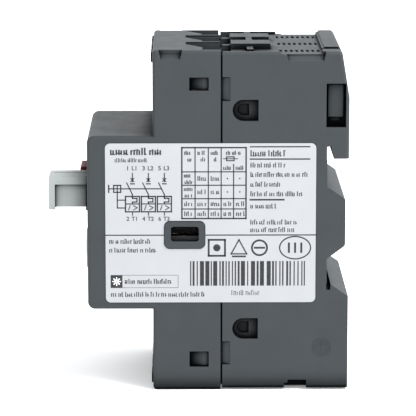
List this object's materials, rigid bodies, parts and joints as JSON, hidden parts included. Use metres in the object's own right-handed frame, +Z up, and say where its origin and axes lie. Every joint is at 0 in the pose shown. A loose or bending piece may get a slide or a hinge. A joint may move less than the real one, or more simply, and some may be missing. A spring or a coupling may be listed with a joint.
{
  "type": "motor protection breaker",
  "caption": "Push-button motor protection breaker for a 35 mm rail: stepped housing with screw clamp terminals at both ends, setting dial, and a working switching mechanism inside.",
  "frame": {"origin": "centre of the 35 mm rail on the plane where the rail seats, mid-width", "axes": "+X to the right seen from the front, across the poles; +Y from the operating face to the rail; +Z up, towards the line terminals"},
  "size_m": [0.0449, 0.0778, 0.0894],
  "materials": {
    "housing_plastic": "fine spark-eroded texture, dark slate grey",
    "label_film": "satin printed film, bluish white",
    "start_plastic": "satin light grey",
    "stop_plastic": "satin dark red",
    "dial_plastic": "satin pale grey",
    "test_plastic": "satin blue",
    "mechanism_plastic": "black glass-filled nylon",
    "spring_steel": "drawn bright wire",
    "zinc_steel": "zinc plated",
    "phosphated_steel": "black phosphated",
    "arc_steel": "bare pressed sheet",
    "fibre_board": "pressed fibre sheet",
    "copper": "punched copper, slightly tarnished",
    "silver": "silver alloy contact",
    "winding_wire": "enamelled wire",
    "heater_wire": "resistance strip",
    "bimetal": "rolled strip"
  },
  "bodies": {
    "housing": {"front_housing": "housing_plastic", "rear_housing": "housing_plastic", "side_label": "label_film", "front_label": "label_film", "mechanism_frame": "zinc_steel", "lever_shaft": "zinc_steel", "trip_shaft": "zinc_steel", "fixed_tips": "silver", "arc_plates_upper": "arc_steel", "arc_plates_lower": "arc_steel", "arc_chute_walls": "fibre_board", "magnet_yokes": "phosphated_steel", "coil_bobbins": "mechanism_plastic", "coil_windings": "winding_wire", "bimetal_strips": "bimetal", "heater_windings": "heater_wire", "start_spring": "spring_steel", "stop_spring": "spring_steel", "plunger_springs": "spring_steel", "rail_spring": "spring_steel", "line_conductor_1": "copper", "line_conductor_2": "copper", "line_conductor_3": "copper", "load_conductor_1": "copper", "load_conductor_2": "copper", "load_conductor_3": "copper", "coil_conductor_1": "copper", "coil_conductor_2": "copper", "coil_conductor_3": "copper"},
    "start_button": {"start_button": "start_plastic"},
    "stop_button": {"stop_button": "stop_plastic"},
    "start_lever": {"start_lever": "mechanism_plastic"},
    "trip_lever": {"trip_lever": "mechanism_plastic"},
    "carrier": {"contact_carrier": "mechanism_plastic", "contact_bridge_1": "copper", "contact_bridge_2": "copper", "contact_bridge_3": "copper", "bridge_tips": "silver", "contact_springs": "spring_steel"},
    "setting_dial": {"setting_dial": "dial_plastic"},
    "adjuster": {"adjuster": "mechanism_plastic"},
    "test_slider": {"test_slider": "test_plastic"},
    "trip_bar": {"trip_bar": "mechanism_plastic"},
    "rail_pusher": {"rail_pusher": "zinc_steel"},
    "plunger_1": {"plunger_1": "zinc_steel"},
    "plunger_2": {"plunger_2": "zinc_steel"},
    "plunger_3": {"plunger_3": "zinc_steel"},
    "clamp_cage_L1": {"clamp_cage_L1": "zinc_steel"},
    "clamp_screw_L1": {"clamp_screw_L1": "zinc_steel"},
    "clamp_cage_L2": {"clamp_cage_L2": "zinc_steel"},
    "clamp_screw_L2": {"clamp_screw_L2": "zinc_steel"},
    "clamp_cage_L3": {"clamp_cage_L3": "zinc_steel"},
    "clamp_screw_L3": {"clamp_screw_L3": "zinc_steel"},
    "clamp_cage_T1": {"clamp_cage_T1": "zinc_steel"},
    "clamp_screw_T1": {"clamp_screw_T1": "zinc_steel"},
    "clamp_cage_T2": {"clamp_cage_T2": "zinc_steel"},
    "clamp_screw_T2": {"clamp_screw_T2": "zinc_steel"},
    "clamp_cage_T3": {"clamp_cage_T3": "zinc_steel"},
    "clamp_screw_T3": {"clamp_screw_T3": "zinc_steel"}
  },
  "joints": [
    {"name": "start_press", "type": "slide", "parent": "housing", "child": "start_button", "axis": [0, 1, 0], "range_m": [0, 0.008], "stiffness_N_per_m": 250, "springref_m": -0.004, "deforming": ["start_spring"]},
    {"name": "stop_press", "type": "slide", "parent": "housing", "child": "stop_button", "axis": [0, 1, 0], "range_m": [0, 0.002], "stiffness_N_per_m": 400, "springref_m": -0.004, "deforming": ["stop_spring"]},
    {"name": "start_lever_turn", "type": "hinge", "parent": "housing", "child": "start_lever", "pos_m": [0.0152, -0.048, 0.0179], "axis": [1, 0, 0], "range_deg": [0, 36.89]},
    {"name": "trip_lever_turn", "type": "hinge", "parent": "housing", "child": "trip_lever", "pos_m": [-0.0152, -0.0545, 0.0179], "axis": [1, 0, 0], "range_deg": [0, 9.55]},
    {"name": "contact_carrier_slide", "type": "slide", "parent": "housing", "child": "carrier", "axis": [0, 1, 0], "range_m": [0, 0.0032]},
    {"name": "adjuster_slide", "type": "slide", "parent": "housing", "child": "adjuster", "axis": [1, 0, 0], "range_m": [-0.0006, 0.0006]},
    {"name": "dial_turn", "type": "hinge", "parent": "housing", "child": "setting_dial", "pos_m": [0.008, -0.0618, -0.0095], "axis": [0, -1, 0], "range_deg": [-135, 135]},
    {"name": "test_push", "type": "slide", "parent": "housing", "child": "test_slider", "axis": [0, 1, 0], "range_m": [0, 0.0015], "stiffness_N_per_m": 200, "springref_m": -0.002},
    {"name": "trip_bar_slide", "type": "slide", "parent": "housing", "child": "trip_bar", "axis": [1, 0, 0], "range_m": [0, 0.0015], "stiffness_N_per_m": 100, "springref_m": -0.002},
    {"name": "rail_pusher_slide", "type": "slide", "parent": "housing", "child": "rail_pusher", "axis": [0, 0, 1], "range_m": [0, 0.0019], "stiffness_N_per_m": 800, "springref_m": -0.002, "deforming": ["rail_spring"]},
    {"name": "plunger_1_slide", "type": "slide", "parent": "housing", "child": "plunger_1", "axis": [0, 1, 0], "range_m": [0, 0.002], "stiffness_N_per_m": 60, "springref_m": -0.002, "deforming": ["plunger_springs"]},
    {"name": "plunger_2_slide", "type": "slide", "parent": "housing", "child": "plunger_2", "axis": [0, 1, 0], "range_m": [0, 0.002], "stiffness_N_per_m": 60, "springref_m": -0.002, "deforming": ["plunger_springs"]},
    {"name": "plunger_3_slide", "type": "slide", "parent": "housing", "child": "plunger_3", "axis": [0, 1, 0], "range_m": [0, 0.002], "stiffness_N_per_m": 60, "springref_m": -0.002, "deforming": ["plunger_springs"]},
    {"name": "clamp_L1_lift", "type": "slide", "parent": "housing", "child": "clamp_cage_L1", "axis": [0, -1, 0], "range_m": [0, 0.004]},
    {"name": "screw_L1_turn", "type": "hinge", "parent": "housing", "child": "clamp_screw_L1", "pos_m": [-0.0143, -0.03995, 0.034], "axis": [0, 1, 0], "range_deg": [0, 2057.6]},
    {"name": "clamp_L2_lift", "type": "slide", "parent": "housing", "child": "clamp_cage_L2", "axis": [0, -1, 0], "range_m": [0, 0.004]},
    {"name": "screw_L2_turn", "type": "hinge", "parent": "housing", "child": "clamp_screw_L2", "pos_m": [0, -0.03995, 0.034], "axis": [0, 1, 0], "range_deg": [0, 2057.6]},
    {"name": "clamp_L3_lift", "type": "slide", "parent": "housing", "child": "clamp_cage_L3", "axis": [0, -1, 0], "range_m": [0, 0.004]},
    {"name": "screw_L3_turn", "type": "hinge", "parent": "housing", "child": "clamp_screw_L3", "pos_m": [0.0143, -0.03995, 0.034], "axis": [0, 1, 0], "range_deg": [0, 2057.6]},
    {"name": "clamp_T1_lift", "type": "slide", "parent": "housing", "child": "clamp_cage_T1", "axis": [0, -1, 0], "range_m": [0, 0.004]},
    {"name": "screw_T1_turn", "type": "hinge", "parent": "housing", "child": "clamp_screw_T1", "pos_m": [-0.0143, -0.03995, -0.034], "axis": [0, 1, 0], "range_deg": [0, 2057.6]},
    {"name": "clamp_T2_lift", "type": "slide", "parent": "housing", "child": "clamp_cage_T2", "axis": [0, -1, 0], "range_m": [0, 0.004]},
    {"name": "screw_T2_turn", "type": "hinge", "parent": "housing", "child": "clamp_screw_T2", "pos_m": [0, -0.03995, -0.034], "axis": [0, 1, 0], "range_deg": [0, 2057.6]},
    {"name": "clamp_T3_lift", "type": "slide", "parent": "housing", "child": "clamp_cage_T3", "axis": [0, -1, 0], "range_m": [0, 0.004]},
    {"name": "screw_T3_turn", "type": "hinge", "parent": "housing", "child": "clamp_screw_T3", "pos_m": [0.0143, -0.03995, -0.034], "axis": [0, 1, 0], "range_deg": [0, 2057.6]}
  ],
  "couplings": [
    {"joint": "start_lever_turn", "follows": "start_press", "rad_per_m": 80.438},
    {"joint": "contact_carrier_slide", "follows": "start_press", "ratio": 0.4},
    {"joint": "trip_lever_turn", "follows": "stop_press", "rad_per_m": 83.141},
    {"joint": "dial_turn", "follows": "adjuster_slide", "rad_per_m": -3927},
    {"joint": "screw_L1_turn", "follows": "clamp_L1_lift", "rad_per_m": 8976},
    {"joint": "screw_L2_turn", "follows": "clamp_L2_lift", "rad_per_m": 8976},
    {"joint": "screw_L3_turn", "follows": "clamp_L3_lift", "rad_per_m": 8976},
    {"joint": "screw_T1_turn", "follows": "clamp_T1_lift", "rad_per_m": 8976},
    {"joint": "screw_T2_turn", "follows": "clamp_T2_lift", "rad_per_m": 8976},
    {"joint": "screw_T3_turn", "follows": "clamp_T3_lift", "rad_per_m": 8976}
  ]
}
